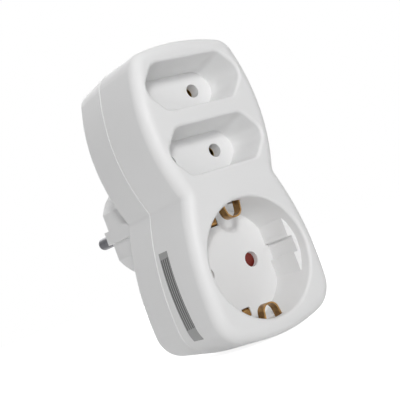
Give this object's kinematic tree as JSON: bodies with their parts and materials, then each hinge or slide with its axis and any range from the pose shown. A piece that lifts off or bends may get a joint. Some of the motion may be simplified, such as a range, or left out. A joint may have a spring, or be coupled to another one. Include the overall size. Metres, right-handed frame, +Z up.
{
  "type": "multi-socket adapter",
  "caption": "Plug-in mains adapter: waisted white case with flat sockets above a shuttered round earthed socket, and a round-pin plug with earth straps behind.",
  "frame": {"origin": "midway between the two plug pins, on the end face of the plug that they stand out of", "axes": "+Y out of the wall plug, towards the wall; +Z up, from the round socket to the flat sockets; +X right as seen from the sockets"},
  "size_m": [0.05, 0.075, 0.0999],
  "materials": {
    "white_shell": "satin gloss moulded",
    "plated_pin": "dull nickel plate",
    "plated_strip": "dull nickel plate",
    "brass_strip": "stamped strip",
    "bronze_clip": "tarnished spring strip",
    "red_shutter": "moulded",
    "spring_steel": "rolled",
    "screw_steel": "zinc plated"
  },
  "bodies": {
    "adapter": {"front_cover": "white_shell", "rear_cover": "white_shell", "plug_pin_left": "plated_pin", "plug_pin_right": "plated_pin", "bus_bar_left": "brass_strip", "bus_bar_right": "brass_strip", "earth_bridge": "bronze_clip", "earth_clip_top": "bronze_clip", "earth_clip_bottom": "bronze_clip", "plug_earth_strap": "plated_strip", "earth_rivet": "plated_strip", "shutter_spring": "spring_steel", "shutter_keeper": "white_shell", "keeper_screw_upper": "screw_steel", "keeper_screw_lower": "screw_steel", "case_screw_upper_left": "screw_steel", "case_screw_upper_right": "screw_steel", "case_screw_lower_left": "screw_steel", "case_screw_lower_right": "screw_steel", "round_contact_left": "brass_strip", "round_contact_right": "brass_strip", "lower_flat_contact_left": "brass_strip", "lower_flat_contact_right": "brass_strip", "upper_flat_contact_left": "brass_strip", "upper_flat_contact_right": "brass_strip"},
    "shutter": {"safety_shutter": "red_shutter"}
  },
  "joints": [
    {"name": "shutter_turn", "type": "hinge", "parent": "adapter", "child": "shutter", "pos_m": [0, -0.0354, -0.0239], "axis": [0, -1, 0], "range_deg": [0, 40], "stiffness_Nm_per_rad": 0.002, "springref_deg": -17.19, "deforming": ["shutter_spring"]}
  ]
}
